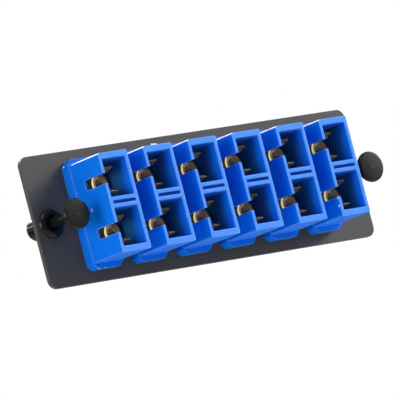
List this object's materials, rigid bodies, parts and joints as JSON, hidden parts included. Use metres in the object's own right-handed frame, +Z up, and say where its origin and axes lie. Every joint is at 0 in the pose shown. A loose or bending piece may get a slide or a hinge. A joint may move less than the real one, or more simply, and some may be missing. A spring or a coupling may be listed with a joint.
{
  "type": "fibre adapter panel",
  "caption": "Flat rectangular panel carrying a row of upright two-port fibre adapters, with a push-pull latch at each end.",
  "frame": {"origin": "middle of the back face of the plate, the face that seats on the enclosure", "axes": "+X along the row of adapters, +Z up, the ports' fronts face -Y and +Y points into the enclosure"},
  "size_m": [0.1094, 0.0271, 0.0342],
  "materials": {
    "plate_paint": "fine textured charcoal powder coat",
    "housing_blue": "satin moulded blue",
    "latch_amber": "brown amber engineering plastic, glossy",
    "sleeve_ceramic": "ground white zirconia",
    "clip_steel": "cold-rolled spring steel",
    "latch_black": "satin black nylon"
  },
  "bodies": {
    "panel": {"front_housing_1": "housing_blue", "front_housing_2": "housing_blue", "front_housing_3": "housing_blue", "front_housing_4": "housing_blue", "front_housing_5": "housing_blue", "front_housing_6": "housing_blue", "front_latch_1_lower": "latch_amber", "front_latch_1_upper": "latch_amber", "front_latch_2_lower": "latch_amber", "front_latch_2_upper": "latch_amber", "front_latch_3_lower": "latch_amber", "front_latch_3_upper": "latch_amber", "front_latch_4_lower": "latch_amber", "front_latch_4_upper": "latch_amber", "front_latch_5_lower": "latch_amber", "front_latch_5_upper": "latch_amber", "front_latch_6_lower": "latch_amber", "front_latch_6_upper": "latch_amber", "latch_grommet_left": "latch_black", "latch_grommet_right": "latch_black", "panel_clip_1": "clip_steel", "panel_clip_2": "clip_steel", "panel_clip_3": "clip_steel", "panel_clip_4": "clip_steel", "panel_clip_5": "clip_steel", "panel_clip_6": "clip_steel", "panel_plate": "plate_paint", "rear_housing_1": "housing_blue", "rear_housing_2": "housing_blue", "rear_housing_3": "housing_blue", "rear_housing_4": "housing_blue", "rear_housing_5": "housing_blue", "rear_housing_6": "housing_blue", "rear_latch_1_lower": "latch_amber", "rear_latch_1_upper": "latch_amber", "rear_latch_2_lower": "latch_amber", "rear_latch_2_upper": "latch_amber", "rear_latch_3_lower": "latch_amber", "rear_latch_3_upper": "latch_amber", "rear_latch_4_lower": "latch_amber", "rear_latch_4_upper": "latch_amber", "rear_latch_5_lower": "latch_amber", "rear_latch_5_upper": "latch_amber", "rear_latch_6_lower": "latch_amber", "rear_latch_6_upper": "latch_amber", "split_sleeve_1_lower": "sleeve_ceramic", "split_sleeve_1_upper": "sleeve_ceramic", "split_sleeve_2_lower": "sleeve_ceramic", "split_sleeve_2_upper": "sleeve_ceramic", "split_sleeve_3_lower": "sleeve_ceramic", "split_sleeve_3_upper": "sleeve_ceramic", "split_sleeve_4_lower": "sleeve_ceramic", "split_sleeve_4_upper": "sleeve_ceramic", "split_sleeve_5_lower": "sleeve_ceramic", "split_sleeve_5_upper": "sleeve_ceramic", "split_sleeve_6_lower": "sleeve_ceramic", "split_sleeve_6_upper": "sleeve_ceramic"},
    "plunger_left": {"latch_plunger_left": "latch_black"},
    "plunger_right": {"latch_plunger_right": "latch_black"}
  },
  "joints": [
    {"name": "left_latch_slide", "type": "slide", "parent": "panel", "child": "plunger_left", "axis": [0, 1, 0], "range_m": [0, 0.0079]},
    {"name": "right_latch_slide", "type": "slide", "parent": "panel", "child": "plunger_right", "axis": [0, 1, 0], "range_m": [0, 0.0079]}
  ]
}
